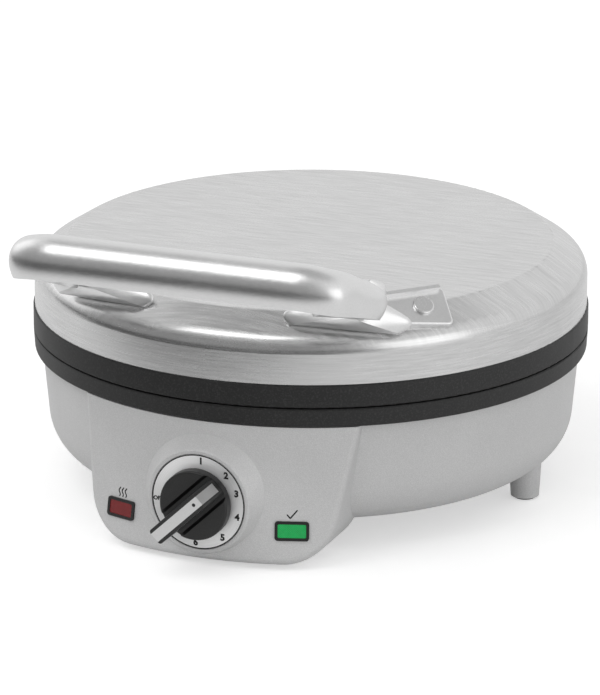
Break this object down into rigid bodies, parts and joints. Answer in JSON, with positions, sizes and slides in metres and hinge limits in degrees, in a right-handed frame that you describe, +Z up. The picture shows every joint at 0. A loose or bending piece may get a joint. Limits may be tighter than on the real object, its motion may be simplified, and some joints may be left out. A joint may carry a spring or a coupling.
{
  "type": "belgian waffle maker",
  "caption": "Round countertop waffle maker: hinged brushed-steel lid over deep-grid baking plates, bar handle at the front and a thermostat dial on a flared control pod.",
  "frame": {"origin": "on the table under the middle of the bounding box", "axes": "+Z up; -Y towards the front with the dial and the handle bar; +X to the right of someone facing the front"},
  "size_m": [0.29, 0.3596, 0.1743],
  "materials": {
    "brushed_cover": "brushed stainless sheet",
    "silver_paint": "silver paint on a moulded housing, satin",
    "charcoal_plastic": "fine matt texture",
    "cast_handle": "satin casting",
    "rivet_metal": "satin",
    "plate_coating": "dark non-stick coating on cast aluminium",
    "element_steel": "heat-darkened sheath",
    "reflector_sheet": "bright sheet",
    "plated_steel": "zinc plated",
    "pin_steel": "ground",
    "fuse_body": "ceramic",
    "foot_rubber": "matt",
    "thermostat_body": "moulded",
    "brass": "turned",
    "dial_face": "satin silver",
    "window_black": "gloss",
    "red_window": "tinted, cross-hatched",
    "green_window": "tinted, cross-hatched",
    "lamp_glass": "clear",
    "terminal_plastic": "moulded",
    "gland_rubber": "matt",
    "wire_sleeve": "glass-fibre sleeve",
    "hinge_plastic": "fine matt texture",
    "knob_black": "satin",
    "knob_silver": "satin silver"
  },
  "bodies": {
    "base": {"base_housing": "silver_paint", "base_ring": "charcoal_plastic", "lower_baking_plate": "plate_coating", "lower_heating_element": "element_steel", "lower_element_clamps": "plated_steel", "lower_clamp_screws": "plated_steel", "lower_reflector": "reflector_sheet", "lower_plate_screws": "plated_steel", "lower_thermal_fuse": "fuse_body", "housing_screws": "plated_steel", "rubber_feet": "foot_rubber", "thermostat": "thermostat_body", "thermostat_nut": "brass", "dial_ring": "dial_face", "window_frames": "window_black", "red_lens": "red_window", "green_lens": "green_window", "indicator_lamps": "lamp_glass", "terminal_block": "terminal_plastic", "cord_gland": "gland_rubber", "wiring": "wire_sleeve", "base_hinge_bracket": "hinge_plastic", "base_hinge_screws": "plated_steel", "hinge_pin": "pin_steel"},
    "lid": {"lid_cover": "brushed_cover", "lid_ring": "charcoal_plastic", "lid_screws": "plated_steel", "lid_handle": "cast_handle", "handle_rivets": "rivet_metal", "handle_backing_plates": "plated_steel", "lid_hinge_arm": "hinge_plastic", "lid_hinge_screws": "plated_steel", "upper_baking_plate": "plate_coating", "upper_heating_element": "element_steel", "upper_element_clamps": "plated_steel", "upper_clamp_screws": "plated_steel", "upper_reflector": "reflector_sheet", "upper_plate_screws": "plated_steel", "upper_thermal_fuse": "fuse_body"},
    "knob": {"control_knob": "knob_black", "knob_inlay": "knob_silver", "knob_clip": "plated_steel", "thermostat_shaft": "pin_steel"}
  },
  "joints": [
    {"name": "lid_hinge", "type": "hinge", "parent": "base", "child": "lid", "pos_m": [0, 0.17175, 0.0835], "axis": [-1, 0, 0], "range_deg": [0, 100]},
    {"name": "knob_turn", "type": "hinge", "parent": "base", "child": "knob", "pos_m": [0, -0.14001, 0.034], "axis": [0, -1, 0], "range_deg": [-137.5, 136.5]}
  ]
}
